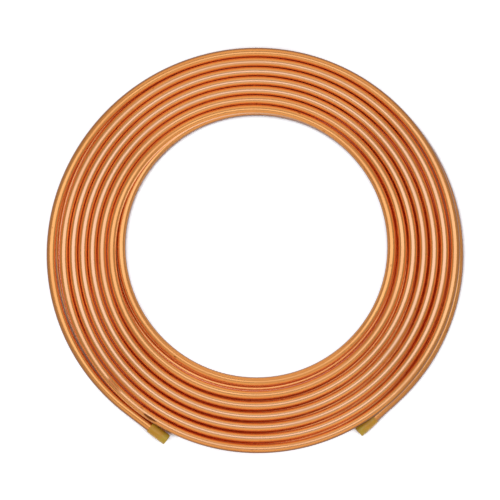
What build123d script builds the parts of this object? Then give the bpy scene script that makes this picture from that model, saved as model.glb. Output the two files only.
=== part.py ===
from build123d import *
import math
import os

os.makedirs("parts", exist_ok=True)

# A coil of soft copper refrigeration tube: one tube wound flat in two layers from the middle of
# its length, so both ends come off the outside, each closed by a push-on plastic cap.
# Millimetres, +Z up, floor at z = 0. The origin is the centre of the innermost turn.

# The tube: 3/8 inch outside, 0.032 inch wall.
tube_od = 9.525
tube_wall = 0.813

# The winding. Both layers leave the top of the innermost turn, one each way round.
inner_radius = 141.2
turns = 6
layer_gap = 0.5

# The upper turns lie close together on one side of the coil and loose on the other.
first_closing = 0.7
first_opening = 2.3
second_tuck = 2.625
upper_tight_gap = 0.125
upper_loose_gap = 1.775
upper_loose_side = -53.6
upper_side_step = 1.63

# So do the lower turns, and the first of them opens wider than the rest.
lower_opening = 0.295 * tube_od
lower_first_tight_gap = 0.4
lower_first_loose_gap = 4.5
lower_first_loose_side = -85.0
lower_tight_gap = 0.2
lower_loose_gap = 1.7
lower_loose_side = -105.0
lower_side_step = 1.5

# The free ends: how far round from -Y they stop, how far they point back at the coil there,
# and the straight length that each ends with.
upper_end_side = 32.0
upper_end_flare = 5.5
lower_end_side = 35.0
lower_end_flare = 7.3
end_straight = 43.0

# The caps, and how clear of the outermost turns they lie.
cap_wall = 1.1
cap_fit = 0.05
cap_length = 22.5
cap_grip = 14.0
cap_closure = 1.6
cap_edge = 1.0
cap_clearance = 0.3

tube_radius = tube_od / 2
layer_rise = tube_od + layer_gap
cap_radius = tube_radius + cap_fit + cap_wall


def direction(angle):
    return Vector(math.cos(math.radians(angle)), math.sin(math.radians(angle)), 0)


class TubeRun:
    """Tube as it is bent: its walls so far, its bends, and the plane across its open end."""

    def __init__(self, start):
        self.end = start
        self.hand = -start.z_dir.X
        self.walls = []
        self.bends = []

    def circles(self):
        return [Wire.make_circle(radius, self.end) for radius in (tube_radius, tube_radius - tube_wall)]

    def roll(self, angle):
        turn = math.radians(angle)
        across = self.end.x_dir * math.cos(turn) + self.end.y_dir * math.sin(turn)
        self.end = Plane(self.end.origin, x_dir=across, z_dir=self.end.z_dir)

    def bend(self, radius, angle):
        centre = self.end.origin + self.end.x_dir * radius
        for circle in self.circles():
            self.walls += Shell.revolve(circle, angle, Axis(centre, self.end.y_dir)).faces()
        turn = math.radians(angle)
        inward = self.end.x_dir * math.cos(turn) - self.end.z_dir * math.sin(turn)
        onward = self.end.z_dir * math.cos(turn) + self.end.x_dir * math.sin(turn)
        self.end = Plane(centre - inward * radius, x_dir=inward, z_dir=onward)
        self.bends.append((centre, radius))

    def bend_to(self, point):
        """One bend that carries the tube on to a point."""
        way = point - self.end.origin
        along = way.dot(self.end.z_dir)
        across = way - self.end.z_dir * along
        self.end = Plane(self.end.origin, x_dir=across, z_dir=self.end.z_dir)
        bend_angle = 2 * math.atan2(across.length, along)
        self.bend(way.dot(way) / (2 * across.length), math.degrees(bend_angle))

    def turn(self, radius, tight_gap, loose_gap, loose_side, side_step):
        """One turn of four quarter bends that drifts to its loose side, and the next turn's radius."""
        pitch = tube_od + (tight_gap + loose_gap) / 2
        drift = direction(loose_side) * (loose_gap - tight_gap) / 2
        sideways = drift.X * self.hand
        half_step = (pitch + sideways + drift.Y) / 2
        for step in (0, side_step, half_step, half_step + side_step - sideways):
            self.bend(radius + step, 90)
        return radius + pitch

    def half_way(self, point, heading):
        """Where two bends meet that carry the tube on to a point with a heading."""
        way = point - self.end.origin
        both = way.dot(self.end.z_dir + heading)
        turned = 2 * (1 - self.end.z_dir.dot(heading))
        reach = (math.sqrt(both * both + turned * way.dot(way)) - both) / turned
        return (self.end.origin + point + (self.end.z_dir - heading) * reach) / 2

    def lead_to(self, point, heading, lift):
        """Two bends to a point, the second tipped so that the cap's mouth beyond it is lifted."""
        self.bend_to(self.half_way(point, heading))
        way = point - self.end.origin
        beyond = 2 * (end_straight - cap_grip) * way.dot(self.end.z_dir) / way.dot(way)
        self.bend_to(point + Vector(0, 0, lift / (1 + beyond)))

    def straight(self, length):
        for circle in self.circles():
            self.walls += Shell.extrude(circle, self.end.z_dir * length).faces()
        self.end = Plane(self.end.origin + self.end.z_dir * length, self.end.x_dir, self.end.z_dir)

    def mouth(self):
        outside, inside = self.circles()
        return Face(outside, [inside])


top_of_bore = (0, inner_radius, tube_radius)

# Climb: the innermost half turn is tipped so that it ends one layer higher.
upper = TubeRun(Plane(top_of_bore, x_dir=(0, -1, 0), z_dir=(-1, 0, 0)))
climb = math.degrees(math.asin(layer_rise / (2 * inner_radius)))
upper.roll(climb)
upper.bend(inner_radius, 180)
upper.roll(climb)

# Upper layer: anticlockwise and outward.
upper.bend(inner_radius - first_closing, 90)
upper.bend(inner_radius + first_opening, 90)
radius = inner_radius + tube_od - second_tuck
for turn in range(turns):
    radius = upper.turn(radius, upper_tight_gap, upper_loose_gap, upper_loose_side, upper_side_step)

# Lower layer: clockwise and outward.
lower = TubeRun(Plane(top_of_bore, x_dir=(0, -1, 0), z_dir=(1, 0, 0)))
first_gaps = (lower_first_tight_gap, lower_first_loose_gap, lower_first_loose_side)
radius = lower.turn(inner_radius + lower_opening, *first_gaps, lower_side_step)
for turn in range(turns - 1):
    radius = lower.turn(radius, lower_tight_gap, lower_loose_gap, lower_loose_side, lower_side_step)

# The quarter bends of the outermost turns that the caps lie beside, and the heights of the layers.
upper_left, upper_right = upper.bends[-3:-1]
lower_right, lower_left = lower.bends[-3:-1]
lower_height = tube_radius
upper_height = tube_radius + layer_rise


def straight_start(angle, heading, height, turns_beside):
    """Start of an end's straight length, for a cap whose mouth is clear of the turns beside it."""
    clear = tube_radius + cap_radius + cap_clearance
    mouths = []
    for (centre, radius), turn_height in turns_beside:
        standoff = math.sqrt(clear ** 2 - (turn_height - height) ** 2)
        mouths.append(Vector(centre.X, centre.Y, 0) + direction(angle) * (radius + standoff))
    mouth = max(mouths, key=lambda place: place.dot(direction(angle)))
    return mouth - heading * (end_straight - cap_grip)


# Upper end: springs out past the outermost turn and drops half a layer, beside both layers.
angle = 270 - upper_end_side
heading = direction(angle + 90 - upper_end_flare)
drop = layer_rise / 2
turns_beside = ((upper_left, upper_height), (lower_left, lower_height))
point = straight_start(angle, heading, upper_height - drop, turns_beside)
upper.lead_to(point + Vector(0, 0, upper_height), heading, -drop)
upper.straight(end_straight)

# Lower end: opens out under the outermost upper turn and lifts to rest on its cap.
angle = 270 + lower_end_side
heading = direction(angle - 90 + lower_end_flare)
turns_beside = ((upper_right, upper_height), (lower_right, lower_height))
point = straight_start(angle, heading, cap_radius, turns_beside)
lower.lead_to(point + Vector(0, 0, lower_height), heading, cap_radius - tube_radius)
lower.straight(end_straight)

copper_tube = Solid(Shell(lower.walls + upper.walls + [lower.mouth(), upper.mouth()]))


def end_cap(tube_end):
    mouth = tube_end.offset(-cap_grip)
    shell = extrude(mouth * Circle(cap_radius), cap_length, dir=mouth.z_dir)
    shell = fillet(shell.edges().sort_by(Axis(mouth.origin, mouth.z_dir))[-1], cap_edge)
    hollow = extrude(mouth * Circle(tube_radius + cap_fit), cap_length - cap_closure, dir=mouth.z_dir)
    return shell - hollow


export_step(copper_tube, "parts/copper_tube.step")
export_step(end_cap(upper.end), "parts/upper_end_cap.step")
export_step(end_cap(lower.end), "parts/lower_end_cap.step")
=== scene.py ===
import math

import bmesh
import bpy
from mathutils import Matrix, Vector


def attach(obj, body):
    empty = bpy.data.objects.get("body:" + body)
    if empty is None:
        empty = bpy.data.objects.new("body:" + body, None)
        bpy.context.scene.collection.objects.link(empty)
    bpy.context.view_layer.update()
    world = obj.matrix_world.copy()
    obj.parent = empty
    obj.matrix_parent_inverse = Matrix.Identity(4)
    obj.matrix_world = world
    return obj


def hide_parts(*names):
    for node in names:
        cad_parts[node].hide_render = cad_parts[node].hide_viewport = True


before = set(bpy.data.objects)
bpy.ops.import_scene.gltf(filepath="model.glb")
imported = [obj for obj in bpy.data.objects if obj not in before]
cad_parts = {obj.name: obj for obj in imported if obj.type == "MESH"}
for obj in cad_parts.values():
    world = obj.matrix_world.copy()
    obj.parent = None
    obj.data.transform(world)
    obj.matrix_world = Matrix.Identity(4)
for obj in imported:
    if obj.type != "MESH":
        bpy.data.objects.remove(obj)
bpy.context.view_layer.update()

# Copper tube
# One unbroken length of soft drawn copper tube, 3/8 inch outside with a 0.032 inch wall.
# It is wound flat in two layers from the middle of its length, so both ends come off the outside.
TUBE_OD = 0.009525
TUBE_WALL = 0.000813
INNER_RADIUS = 0.1412
TURNS = 6
LAYER_GAP = 0.0005
FIRST_CLOSING = 0.0007
FIRST_OPENING = 0.0023
SECOND_TUCK = 0.002625
LOWER_OPENING = 0.295 * TUBE_OD

# Between turns: the tight gap, the loose gap, and the side of the coil that is loose, in degrees.
UPPER_GAPS = (0.000125, 0.001775, -53.6)
LOWER_FIRST_GAPS = (0.0004, 0.0045, -85.0)
LOWER_GAPS = (0.0002, 0.0017, -105.0)
UPPER_SIDE_STEP = 0.00163
LOWER_SIDE_STEP = 0.0015

# The free ends, in degrees and metres, and what they need to know of the caps.
UPPER_END_SIDE = 32.0
UPPER_END_FLARE = 5.5
LOWER_END_SIDE = 35.0
LOWER_END_FLARE = 7.3
END_STRAIGHT = 0.043
CAP_WALL = 0.0011
CAP_FIT = 0.00005
CAP_GRIP = 0.014
CAP_CLEARANCE = 0.0003
TUBE_RADIUS = TUBE_OD / 2
LAYER_RISE = TUBE_OD + LAYER_GAP
CAP_RADIUS = TUBE_RADIUS + CAP_FIT + CAP_WALL

# The outside and the bore: radius, facets round, and length of a facet along the tube.
TUBE_SKINS = ((TUBE_RADIUS, 32, 0.0076), (TUBE_RADIUS - TUBE_WALL, 16, 0.0125))
JOIN_DISTANCE = 0.00001

tube_mesh = bmesh.new()
tube_mesh.verts.layers.float_vector.new("drawn")
bent_length = bpy.data.meshes.new("bent_length")


def direction(angle):
    return Vector((math.cos(math.radians(angle)), math.sin(math.radians(angle)), 0))


class TubeRun:
    """One way along the tube from the middle of its length, bent on from its open end."""

    def __init__(self, hand):
        self.hand = hand
        self.origin = Vector((0, INNER_RADIUS, TUBE_RADIUS))
        self.onward = Vector((-hand, 0, 0))
        self.inward = Vector((0, -1, 0))
        self.seam = self.inward.copy()
        self.length = 0.0
        self.bends = []

    def open_end(self):
        """The frame at the open end, with z along the tube."""
        across = self.onward.cross(self.seam)
        end_frame = Matrix((self.seam, across, self.onward)).transposed().to_4x4()
        end_frame.translation = self.origin
        return end_frame

    def open_ring(self, radius, facets):
        """A ring of one skin at the open end."""
        ring = bmesh.new()
        ring.verts.layers.float_vector.new("drawn")
        bmesh.ops.create_circle(ring, segments=facets, radius=radius, matrix=self.open_end())
        return ring

    def join(self, piece):
        """Adds a bent length to the tube."""
        piece.to_mesh(bent_length)
        piece.free()
        tube_mesh.from_mesh(bent_length)

    def mark(self, piece, vert, along, offset):
        """Keeps where a point lay on the straight tube: along it, and across it both ways."""
        upward = self.onward.cross(self.seam) * self.hand
        drawn = piece.verts.layers.float_vector["drawn"]
        from_middle = self.hand * (self.length + along)
        vert[drawn] = (from_middle, offset.dot(self.seam), offset.dot(upward))

    def roll(self, angle):
        """Tips the plane of the next bend."""
        self.inward = Matrix.Rotation(angle, 3, self.onward) @ self.inward

    def bend(self, radius, angle):
        """One bend towards the inward side, at a radius and through an angle."""
        axis = self.onward.cross(self.inward)
        centre = self.origin + self.inward * radius
        for skin_radius, facets, facet_length in TUBE_SKINS:
            piece = self.open_ring(skin_radius, facets)
            steps = math.ceil(radius * angle / facet_length)
            bmesh.ops.spin(piece, geom=piece.edges[:], cent=centre, axis=axis,
                           angle=angle, steps=steps)
            for vert in piece.verts:
                spoke = vert.co - centre
                turned = math.atan2(spoke.dot(self.onward), -spoke.dot(self.inward))
                # The far end of a half turn can come out as minus a half turn.
                if turned < -1:
                    turned += 2 * math.pi
                before = centre + Matrix.Rotation(-turned, 3, axis) @ spoke
                self.mark(piece, vert, radius * turned, before - self.origin)
            self.join(piece)
        turn = Matrix.Rotation(angle, 3, axis)
        self.onward = (turn @ self.onward).normalized()
        self.inward = (turn @ self.inward).normalized()
        self.seam = (turn @ self.seam).normalized()
        self.origin = centre - self.inward * radius
        self.length += radius * angle
        self.bends.append((centre, radius))

    def bend_to(self, point):
        """One bend that carries the tube on to a point."""
        way = point - self.origin
        along = way.dot(self.onward)
        across = way - self.onward * along
        self.inward = across.normalized()
        self.bend(way.dot(way) / (2 * across.length), 2 * math.atan2(across.length, along))

    def turn(self, radius, gaps, side_step):
        """One turn of four quarter bends that drifts to its loose side, and the next's radius."""
        tight_gap, loose_gap, loose_side = gaps
        pitch = TUBE_OD + (tight_gap + loose_gap) / 2
        drift = direction(loose_side) * (loose_gap - tight_gap) / 2
        sideways = drift.x * self.hand
        half_step = (pitch + sideways + drift.y) / 2
        for step in (0, side_step, half_step, half_step + side_step - sideways):
            self.bend(radius + step, math.pi / 2)
        return radius + pitch

    def lead_to(self, point, heading, lift):
        """Two bends to a point, the second tipped so that the cap's mouth beyond it is lifted."""
        way = point - self.origin
        both = way.dot(self.onward + heading)
        turned = 2 * (1 - self.onward.dot(heading))
        reach = (math.sqrt(both * both + turned * way.dot(way)) - both) / turned
        self.bend_to((self.origin + point + (self.onward - heading) * reach) / 2)
        way = point - self.origin
        beyond = 2 * (END_STRAIGHT - CAP_GRIP) * way.dot(self.onward) / way.dot(way)
        self.bend_to(point + Vector((0, 0, lift / (1 + beyond))))

    def straight(self, length):
        """A straight length, up to the mouth."""
        for skin_radius, facets, _ in TUBE_SKINS:
            piece = self.open_ring(skin_radius, facets)
            for vert in piece.verts:
                self.mark(piece, vert, 0, vert.co - self.origin)
            drawn_out = bmesh.ops.extrude_edge_only(piece, edges=piece.edges[:])["geom"]
            far_ring = [item for item in drawn_out if isinstance(item, bmesh.types.BMVert)]
            for vert in far_ring:
                self.mark(piece, vert, length, vert.co - self.origin)
            bmesh.ops.translate(piece, verts=far_ring, vec=self.onward * length)
            self.join(piece)
        self.origin = self.origin + self.onward * length
        self.length += length


# The innermost half turn climbs to the upper layer, which is wound anticlockwise and outward.
upper = TubeRun(1)
climb = math.asin(LAYER_RISE / (2 * INNER_RADIUS))
upper.roll(climb)
upper.bend(INNER_RADIUS, math.pi)
upper.roll(climb)
upper.bend(INNER_RADIUS - FIRST_CLOSING, math.pi / 2)
upper.bend(INNER_RADIUS + FIRST_OPENING, math.pi / 2)
radius = INNER_RADIUS + TUBE_OD - SECOND_TUCK
for _ in range(TURNS):
    radius = upper.turn(radius, UPPER_GAPS, UPPER_SIDE_STEP)

# The lower layer is wound clockwise and outward.
lower = TubeRun(-1)
radius = lower.turn(INNER_RADIUS + LOWER_OPENING, LOWER_FIRST_GAPS, LOWER_SIDE_STEP)
for _ in range(TURNS - 1):
    radius = lower.turn(radius, LOWER_GAPS, LOWER_SIDE_STEP)

# The quarter bends of the outermost turns that the caps lie beside, and the layers' heights.
upper_left, upper_right = upper.bends[-3:-1]
lower_right, lower_left = lower.bends[-3:-1]
lower_height = TUBE_RADIUS
upper_height = TUBE_RADIUS + LAYER_RISE


def straight_start(angle, heading, height, turns_beside):
    """Start of an end's straight length, for a cap whose mouth is clear of the turns beside it."""
    clear = TUBE_RADIUS + CAP_RADIUS + CAP_CLEARANCE
    mouths = []
    for (centre, radius), turn_height in turns_beside:
        standoff = math.sqrt(clear ** 2 - (turn_height - height) ** 2)
        mouths.append(Vector((centre.x, centre.y, 0)) + direction(angle) * (radius + standoff))
    mouth = max(mouths, key=lambda place: place.dot(direction(angle)))
    return mouth - heading * (END_STRAIGHT - CAP_GRIP)


# The upper end springs out past the outermost turn and drops half a layer.
angle = 270 - UPPER_END_SIDE
heading = direction(angle + 90 - UPPER_END_FLARE)
drop = LAYER_RISE / 2
turns_beside = ((upper_left, upper_height), (lower_left, lower_height))
point = straight_start(angle, heading, upper_height - drop, turns_beside)
upper.lead_to(point + Vector((0, 0, upper_height)), heading, -drop)
upper.straight(END_STRAIGHT)

# The lower end opens out under the outermost upper turn and lifts to rest on its cap.
angle = 270 + LOWER_END_SIDE
heading = direction(angle - 90 + LOWER_END_FLARE)
turns_beside = ((upper_right, upper_height), (lower_right, lower_height))
point = straight_start(angle, heading, CAP_RADIUS, turns_beside)
lower.lead_to(point + Vector((0, 0, lower_height)), heading, CAP_RADIUS - TUBE_RADIUS)
lower.straight(END_STRAIGHT)

# The bent lengths become one tube, cut square at both mouths.
bmesh.ops.remove_doubles(tube_mesh, verts=tube_mesh.verts, dist=JOIN_DISTANCE)
drawn = tube_mesh.verts.layers.float_vector["drawn"]
for hand in (1, -1):
    mouth = [edge for edge in tube_mesh.edges
             if edge.is_boundary and edge.verts[0][drawn].x * hand > 0]
    bmesh.ops.triangle_fill(tube_mesh, edges=mouth, use_beauty=True)
    for edge in mouth:
        edge.smooth = False
bmesh.ops.recalc_face_normals(tube_mesh, faces=tube_mesh.faces)
for face in tube_mesh.faces:
    face.smooth = True
tube_data = bpy.data.meshes.new("wound_copper_tube")
tube_mesh.to_mesh(tube_data)
tube_mesh.free()
bpy.data.meshes.remove(bent_length)
tube = bpy.data.objects.new("wound_copper_tube", tube_data)
bpy.context.collection.objects.link(tube)
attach(tube, "root")
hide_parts("copper_tube")

# Drawn copper, coloured by where each point lies along the tube (X), across it (Y, to the middle
# of the coil) and above its centre line (Z).
SKIN_DULL = (0.94, 0.4, 0.12, 1)
SKIN_BRIGHT = (0.97, 0.45, 0.15, 1)
BOUNCE_LIT_COPPER = (0.99, 0.61, 0.43, 1)
PAINTED_HIGHLIGHT = (0.95, 0.53, 0.32, 1)
RIM_SHADE_BROWN = (0.2, 0.13, 0.09, 1)
SPECK_BROWN = (0.55, 0.42, 0.3, 1)

copper = bpy.data.materials.new("drawn_copper")
copper.use_nodes = True
nodes, links = copper.node_tree.nodes, copper.node_tree.links
metal = nodes["Principled BSDF"]
metal.inputs["Metallic"].default_value = 1.0
on_tube = nodes.new("ShaderNodeAttribute")
on_tube.attribute_name = "drawn"
lengths = nodes.new("ShaderNodeSeparateXYZ")
links.new(on_tube.outputs["Vector"], lengths.inputs["Vector"])


def stretched_noise(scale, detail):
    """Noise that follows the tube, scaled along it and across it both ways."""
    stretch = nodes.new("ShaderNodeMapping")
    stretch.inputs["Scale"].default_value = scale
    links.new(on_tube.outputs["Vector"], stretch.inputs["Vector"])
    noise = nodes.new("ShaderNodeTexNoise")
    noise.inputs["Scale"].default_value = 1.0
    noise.inputs["Detail"].default_value = detail
    links.new(stretch.outputs["Vector"], noise.inputs["Vector"])
    return noise.outputs["Fac"]


def rising(source, start, end):
    """A mask that rises from 0 to 1 as a value goes from start to end."""
    mask = nodes.new("ShaderNodeMapRange")
    mask.interpolation_type = "SMOOTHSTEP"
    mask.inputs["From Min"].default_value = start
    mask.inputs["From Max"].default_value = end
    links.new(source, mask.inputs["Value"])
    return mask.outputs["Result"]


def worked(operation, first, second):
    """Two values put together by a maths node."""
    maths = nodes.new("ShaderNodeMath")
    maths.operation = operation
    links.new(first, maths.inputs[0])
    links.new(second, maths.inputs[1])
    return maths.outputs["Value"]


def shaded(source, stops):
    """A colour that goes through stops of position and colour as a value rises."""
    ramp = nodes.new("ShaderNodeValToRGB")
    elements = ramp.color_ramp.elements
    for element, (position, stop_colour) in zip(elements, (stops[0], stops[-1])):
        element.position = position
        element.color = stop_colour
    for position, stop_colour in stops[1:-1]:
        elements.new(position).color = stop_colour
    links.new(source, ramp.inputs["Fac"])
    return ramp.outputs["Color"]


def blended(blend_type, mask, under, over):
    """A colour blended over another by a mask."""
    mix = nodes.new("ShaderNodeMix")
    mix.data_type = "RGBA"
    mix.blend_type = blend_type
    mix.inputs["B"].default_value = over
    links.new(mask, mix.inputs["Factor"])
    links.new(under, mix.inputs["A"])
    return mix.outputs["Result"]


def embossed(shader, height, strength, distance):
    """Fine relief on a finish, too shallow to model."""
    bump = nodes.new("ShaderNodeBump")
    bump.inputs["Strength"].default_value = strength
    bump.inputs["Distance"].default_value = distance
    links.new(height, bump.inputs["Height"])
    links.new(bump.outputs["Normal"], shader.inputs["Normal"])


# Skin: orange, with patches a few centimetres long that are a little redder and duller.
patches = stretched_noise((14, 90, 90), 4.0)
colour = shaded(patches, ((0.32, SKIN_DULL), (0.68, SKIN_BRIGHT)))
dulling = nodes.new("ShaderNodeMapRange")
dulling.inputs["From Min"].default_value = 0.3
dulling.inputs["From Max"].default_value = 0.7
dulling.inputs["To Min"].default_value = 0.3
dulling.inputs["To Max"].default_value = 0.22
links.new(patches, dulling.inputs["Value"])
links.new(dulling.outputs["Result"], metal.inputs["Roughness"])

# Painted bounce light: paler copper on the sides and underside of every turn, where the turns lie
# against each other, lifts the shade between them.
painted_bounce_light = rising(lengths.outputs["Z"], 0.65 * TUBE_RADIUS, 0.3 * TUBE_RADIUS)
colour = blended("MIX", painted_bounce_light, colour, BOUNCE_LIT_COPPER)

# Painted highlight: a paler, pinker line along the top of the upper turns, where the overhead
# light is reflected, which fades out on the innermost turn and on the free end.
UPPER_RUN = 8.0
highlight_band = rising(lengths.outputs["Z"], 0.89 * TUBE_RADIUS, 0.99 * TUBE_RADIUS)
run = nodes.new("ShaderNodeMapRange")
run.inputs["From Max"].default_value = UPPER_RUN
links.new(lengths.outputs["X"], run.inputs["Value"])
highlight_stops = ((0.12, 0.1), (0.24, 0.55), (0.36, 1.0), (0.72, 1.0), (0.86, 0.55), (0.97, 0.05))
turns_only = shaded(run.outputs["Result"],
                    [(position, (grey, grey, grey, 1)) for position, grey in highlight_stops])
painted_highlight = worked("MULTIPLY", highlight_band, turns_only)
colour = blended("MIX", painted_highlight, colour, PAINTED_HIGHLIGHT)

# Painted shade: the outside of the outermost turns and the inside of the innermost are painted
# dark brown, for a dark rim along the coil's edges.
OUTERMOST_LENGTHS = (1.4, 1.25)
INNERMOST_LENGTHS = (1.0, 0.8)
outside = rising(lengths.outputs["Y"], -0.55 * TUBE_RADIUS, -0.9 * TUBE_RADIUS)
inside = rising(lengths.outputs["Y"], 0.6 * TUBE_RADIUS, 0.95 * TUBE_RADIUS)
upper_last = rising(lengths.outputs["X"], *(upper.length - length for length in OUTERMOST_LENGTHS))
lower_last = rising(lengths.outputs["X"], *(length - lower.length for length in OUTERMOST_LENGTHS))
from_middle = nodes.new("ShaderNodeMath")
from_middle.operation = "ABSOLUTE"
links.new(lengths.outputs["X"], from_middle.inputs[0])
innermost = rising(from_middle.outputs["Value"], *INNERMOST_LENGTHS)
outermost = worked("MULTIPLY", worked("MAXIMUM", upper_last, lower_last), outside)
painted_rim_shade = worked("MAXIMUM", outermost, worked("MULTIPLY", innermost, inside))
colour = blended("MULTIPLY", painted_rim_shade, colour, RIM_SHADE_BROWN)

# Scuffs: small dark specks, few and scattered.
scuff_noise = stretched_noise((120, 420, 420), 2.0)
colour = blended("MULTIPLY", rising(scuff_noise, 0.72, 0.77), colour, SPECK_BROWN)

# Two brown marks on the outermost upper turn: a scrape where the free end has rubbed it, and a
# painted shade and reflection of the upper cap's mouth, which lies beside the turn there.
# Each has its place along the tube, its place across it, half its length, and its colour.
SCRAPE_AND_CAP_SHADE = ((6.767, 0.0003, 0.012, (0.6, 0.4, 0.24, 1)),
           # The second mark is painted shade and reflection of the upper cap's mouth.
           (6.817, -0.0019, 0.010, (0.28, 0.19, 0.14, 1)))
MARK_HALF_WIDTH = 0.0017
for along_tube, inward, half_length, stain_and_shade in SCRAPE_AND_CAP_SHADE:
    mark_place = nodes.new("ShaderNodeMapping")
    mark_place.vector_type = "TEXTURE"
    mark_place.inputs["Location"].default_value = (along_tube, inward, TUBE_RADIUS)
    mark_place.inputs["Scale"].default_value = (half_length, MARK_HALF_WIDTH, TUBE_RADIUS)
    links.new(on_tube.outputs["Vector"], mark_place.inputs["Vector"])
    from_mark = nodes.new("ShaderNodeVectorMath")
    from_mark.operation = "LENGTH"
    links.new(mark_place.outputs["Vector"], from_mark.inputs["Vector"])
    ragged = worked("ADD", from_mark.outputs["Value"], scuff_noise)
    colour = blended("MULTIPLY", rising(ragged, 1.5, 1.15), colour, stain_and_shade)
links.new(colour, metal.inputs["Base Color"])

# Draw marks: fine lines along the tube.
embossed(metal, stretched_noise((6, 900, 900), 3.0), strength=0.15, distance=0.0001)
tube_data.materials.append(copper)

# End caps
# Push-on caps of soft yellow vinyl, dip moulded, that keep dirt out of the tube.
# Each grips the end of the tube for 14 mm and is hollow beyond it, with a flat closed end.
CAP_LENGTH = 0.0225
CAP_CLOSURE = 0.0016
CAP_EDGE = 0.001
CAP_LIP = 0.00025
CAP_BORE = TUBE_RADIUS + CAP_FIT
CAP_FACETS = 48
CAP_SHARP_ANGLE = 0.6
VINYL_DEEP = (0.93, 0.49, 0.045, 1)
VINYL_PALE = (0.98, 0.59, 0.055, 1)
VINYL_HOLLOW = (0.9, 1.12, 1.2, 1)
VINYL_DEPTH = (0.85, 0.72, 0.2, 1)

vinyl = bpy.data.materials.new("yellow_vinyl")
vinyl.use_nodes = True
nodes, links = vinyl.node_tree.nodes, vinyl.node_tree.links
plastic = nodes["Principled BSDF"]
plastic.inputs["Roughness"].default_value = 0.3
plastic.inputs["IOR"].default_value = 1.5
plastic.inputs["Transmission Weight"].default_value = 0.3
depth = nodes.new("ShaderNodeVolumeAbsorption")
depth.inputs["Color"].default_value = VINYL_DEPTH
depth.inputs["Density"].default_value = 200.0
links.new(depth.outputs["Volume"], nodes["Material Output"].inputs["Volume"])

# The vinyl is cloudy from its dipping, and greener past the end of the tube, where it is hollow.
on_cap = nodes.new("ShaderNodeTexCoord")
clouds = nodes.new("ShaderNodeTexNoise")
clouds.inputs["Scale"].default_value = 160.0
clouds.inputs["Detail"].default_value = 3.0
links.new(on_cap.outputs["Object"], clouds.inputs["Vector"])
tint = shaded(clouds.outputs["Fac"], ((0.3, VINYL_DEEP), (0.7, VINYL_PALE)))
along_cap = nodes.new("ShaderNodeAttribute")
along_cap.attribute_name = "along"
past_tube = rising(along_cap.outputs["Fac"], 0.8 * CAP_GRIP, 1.4 * CAP_GRIP)
tint = blended("MULTIPLY", past_tube, tint, VINYL_HOLLOW)
links.new(tint, plastic.inputs["Base Color"])
embossed(plastic, clouds.outputs["Fac"], strength=0.2, distance=0.0002)


def rim(mesh, out, up):
    """The edges of a cap at a distance out from its axis and a height above its mouth."""
    def on_rim(vert):
        return (abs(vert.co.z - up) < JOIN_DISTANCE
                and abs(vert.co.xy.length - out) < JOIN_DISTANCE)

    return [edge for edge in mesh.edges if all(on_rim(vert) for vert in edge.verts)]


for end, cad_cap in ((upper, "upper_end_cap"), (lower, "lower_end_cap")):
    cap_mesh = bmesh.new()
    outline = ((0, CAP_LENGTH), (CAP_RADIUS, CAP_LENGTH), (CAP_RADIUS, 0), (CAP_BORE, 0),
               (CAP_BORE, CAP_LENGTH - CAP_CLOSURE), (0, CAP_LENGTH - CAP_CLOSURE))
    corners = [cap_mesh.verts.new((out, 0, up)) for out, up in outline]
    section = [cap_mesh.edges.new(pair) for pair in zip(corners, corners[1:])]
    bmesh.ops.spin(cap_mesh, geom=corners + section, cent=(0, 0, 0), axis=(0, 0, 1),
                   angle=2 * math.pi, steps=CAP_FACETS, use_merge=True)
    bmesh.ops.remove_doubles(cap_mesh, verts=cap_mesh.verts, dist=JOIN_DISTANCE)
    bmesh.ops.recalc_face_normals(cap_mesh, faces=cap_mesh.faces)
    closed_rim = rim(cap_mesh, CAP_RADIUS, CAP_LENGTH)
    lip_rims = rim(cap_mesh, CAP_RADIUS, 0) + rim(cap_mesh, CAP_BORE, 0)
    bmesh.ops.bevel(cap_mesh, geom=closed_rim, offset=CAP_EDGE, segments=5, profile=0.5,
                    affect="EDGES", material=-1)
    bmesh.ops.bevel(cap_mesh, geom=lip_rims, offset=CAP_LIP, segments=3, profile=0.5,
                    affect="EDGES", material=-1)
    for face in cap_mesh.faces:
        face.smooth = True
    for edge in cap_mesh.edges:
        edge.smooth = edge.calc_face_angle(0) < CAP_SHARP_ANGLE
    along = cap_mesh.verts.layers.float.new("along")
    for vert in cap_mesh.verts:
        vert[along] = vert.co.z
    seat = end.open_end()
    seat.translation = end.origin - end.onward * CAP_GRIP
    bmesh.ops.transform(cap_mesh, matrix=seat, verts=cap_mesh.verts)
    cap_data = bpy.data.meshes.new(cad_cap + "_vinyl")
    cap_mesh.to_mesh(cap_data)
    cap_mesh.free()
    cap_data.materials.append(vinyl)
    cap = bpy.data.objects.new(cad_cap + "_vinyl", cap_data)
    bpy.context.collection.objects.link(cap)
    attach(cap, "root")
    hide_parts(cad_cap)

# Stage
# A white paper floor, with a painted shadow close under the coil that turns into a painted glow of
# copper-coloured bounce light deepest under it.
# A cool strip light hangs overhead, a warm panel stands on either side, and the room is warm.
# The camera looks straight down.
FLOOR_HALF_WIDTH = 4.0
FLOOR_REACH = 0.012
PAINTED_FLOOR_SHADOW_AND_GLOW = ((0.06, (0.5, 0.16, 0.08, 1)), (0.18, (0.1, 0.035, 0.02, 1)),
                (0.5, (0.14, 0.075, 0.055, 1)), (0.6, (0.7, 0.72, 0.76, 1)))

floor_mesh = bmesh.new()
bmesh.ops.create_grid(floor_mesh, x_segments=1, y_segments=1, size=FLOOR_HALF_WIDTH)
floor_data = bpy.data.meshes.new("floor")
floor_mesh.to_mesh(floor_data)
floor_mesh.free()
floor = bpy.data.objects.new("floor", floor_data)
bpy.context.collection.objects.link(floor)

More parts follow.
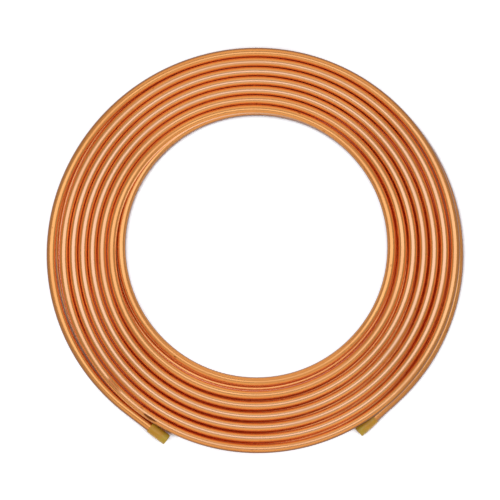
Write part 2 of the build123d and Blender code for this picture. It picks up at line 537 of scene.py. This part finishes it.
paper = bpy.data.materials.new("white_paper")
paper.use_nodes = True
nodes, links = paper.node_tree.nodes, paper.node_tree.links
sheet = nodes["Principled BSDF"]
sheet.inputs["Roughness"].default_value = 0.9
sheet.inputs["Specular IOR Level"].default_value = 0.0
seen = nodes.new("ShaderNodeLightPath")
seen_direct = worked("MAXIMUM", seen.outputs["Is Camera Ray"], seen.outputs["Is Glossy Ray"])
seen_any = worked("MAXIMUM", seen_direct, seen.outputs["Is Transmission Ray"])
links.new(seen_any, sheet.inputs["Emission Strength"])
open_floor = nodes.new("ShaderNodeAmbientOcclusion")
open_floor.samples = 8
open_floor.inputs["Distance"].default_value = FLOOR_REACH
painted_shadow_and_glow = shaded(open_floor.outputs["AO"], PAINTED_FLOOR_SHADOW_AND_GLOW)
links.new(painted_shadow_and_glow, sheet.inputs["Base Color"])
links.new(painted_shadow_and_glow, sheet.inputs["Emission Color"])
floor_data.materials.append(paper)

world = bpy.data.worlds.new("surroundings")
world.use_nodes = True
room = world.node_tree.nodes["Background"]
room.inputs["Color"].default_value = (1.0, 0.9, 0.78, 1)
room.inputs["Strength"].default_value = 0.42
bpy.context.scene.world = world


def soft_light(name, width, depth, energy, colour, location, tilt):
    """A rectangular light that the camera doesn't see, tilted about X."""
    light_data = bpy.data.lights.new(name, "AREA")
    light_data.shape = "RECTANGLE"
    light_data.size = width
    light_data.size_y = depth
    light_data.energy = energy
    light_data.color = colour
    light = bpy.data.objects.new(name, light_data)
    light.location = location
    light.rotation_euler = (tilt, 0, 0)
    light.visible_camera = False
    bpy.context.collection.objects.link(light)


soft_light("softbox", width=2.3, depth=0.7, energy=4.4, colour=(0.9, 1.02, 1.2),
           location=(0, 0, 1.5), tilt=0)
for side in (-1, 1):
    soft_light("panel", width=3.0, depth=2.0, energy=7.5, colour=(1.0, 0.86, 0.7),
               location=(0, 1.75 * side, 1.1), tilt=math.radians(-57) * side)

# Light goes back and forth many times between the turns.
bpy.context.scene.cycles.max_bounces = 24
bpy.context.scene.cycles.glossy_bounces = 24

# The picture is 0.52 m wide at the upper turns, 5 m below the camera.
SENSOR_WIDTH = 36
CAMERA_DISTANCE = 5.0
CAMERA_PLACE = (-0.00695, -0.00388, 5.0148)
PICTURE_WIDTH = 0.52
camera_data = bpy.data.cameras.new("camera")
camera_data.lens = SENSOR_WIDTH * CAMERA_DISTANCE / PICTURE_WIDTH
camera_data.clip_end = 50
camera = bpy.data.objects.new("camera", camera_data)
camera.location = CAMERA_PLACE
bpy.context.collection.objects.link(camera)
bpy.context.scene.camera = camera
bpy.context.scene.view_settings.view_transform = "Standard"
